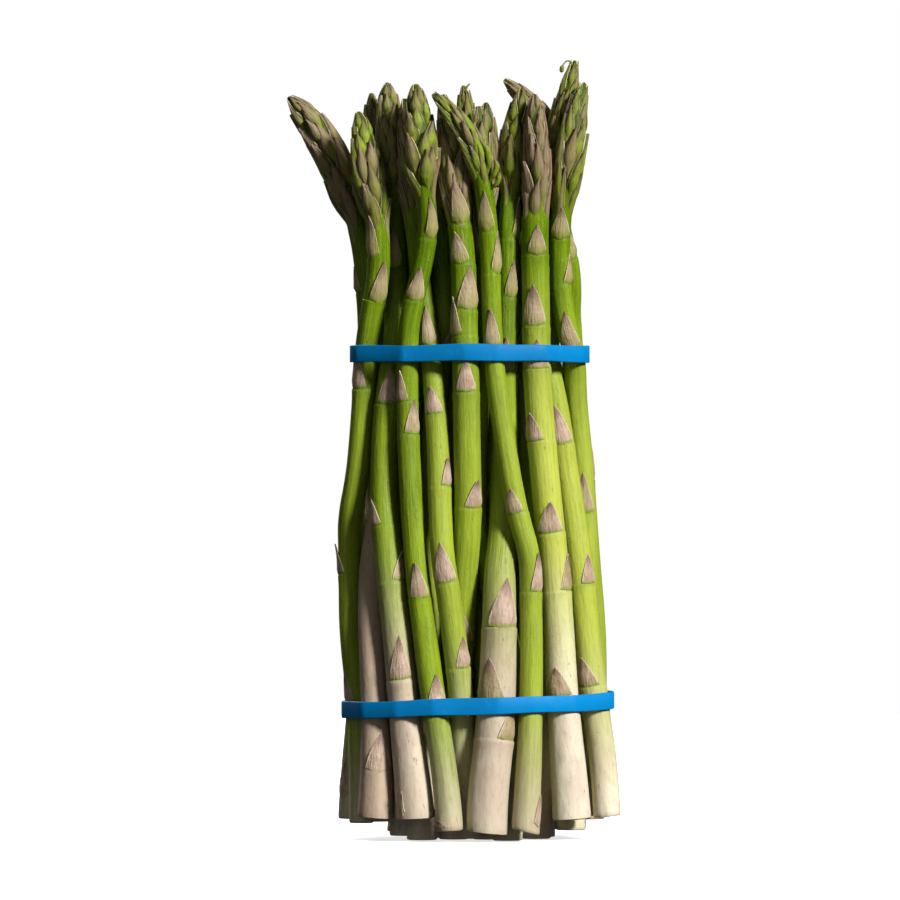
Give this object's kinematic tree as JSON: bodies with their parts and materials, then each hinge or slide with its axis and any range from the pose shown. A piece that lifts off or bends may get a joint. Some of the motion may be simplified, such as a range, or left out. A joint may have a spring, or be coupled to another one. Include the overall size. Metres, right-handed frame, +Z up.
{
  "type": "bundle of asparagus",
  "caption": "Green asparagus spears with scaly heads, bunched upright on their cut ends and held by two flat rubber bands",
  "frame": {"origin": "on the ground, under the middle of the bundle", "axes": "+Z is up along the spears, from the cut ends to the heads; -Y is the side that the picture shows; +X is to its right"},
  "size_m": [0.1034, 0.0675, 0.2393],
  "materials": {
    "asparagus": "satin",
    "rubber_band": "satin"
  },
  "bodies": {
    "root": {"spear_01": "asparagus", "spear_02": "asparagus", "spear_03": "asparagus", "spear_04": "asparagus", "spear_05": "asparagus", "spear_06": "asparagus", "spear_07": "asparagus", "spear_08": "asparagus", "spear_09": "asparagus", "spear_10": "asparagus", "spear_11": "asparagus", "spear_12": "asparagus", "spear_13": "asparagus", "spear_14": "asparagus", "spear_15": "asparagus", "spear_16": "asparagus", "spear_17": "asparagus", "spear_18": "asparagus", "spear_19": "asparagus", "spear_20": "asparagus", "spear_21": "asparagus", "spear_22": "asparagus", "spear_23": "asparagus", "spear_24": "asparagus", "spear_25": "asparagus", "spear_26": "asparagus", "spear_27": "asparagus", "spear_28": "asparagus", "spear_29": "asparagus", "spear_30": "asparagus", "spear_31": "asparagus", "spear_32": "asparagus", "spear_33": "asparagus", "spear_34": "asparagus", "band_upper": "rubber_band", "band_lower": "rubber_band"}
  },
  "joints": []
}
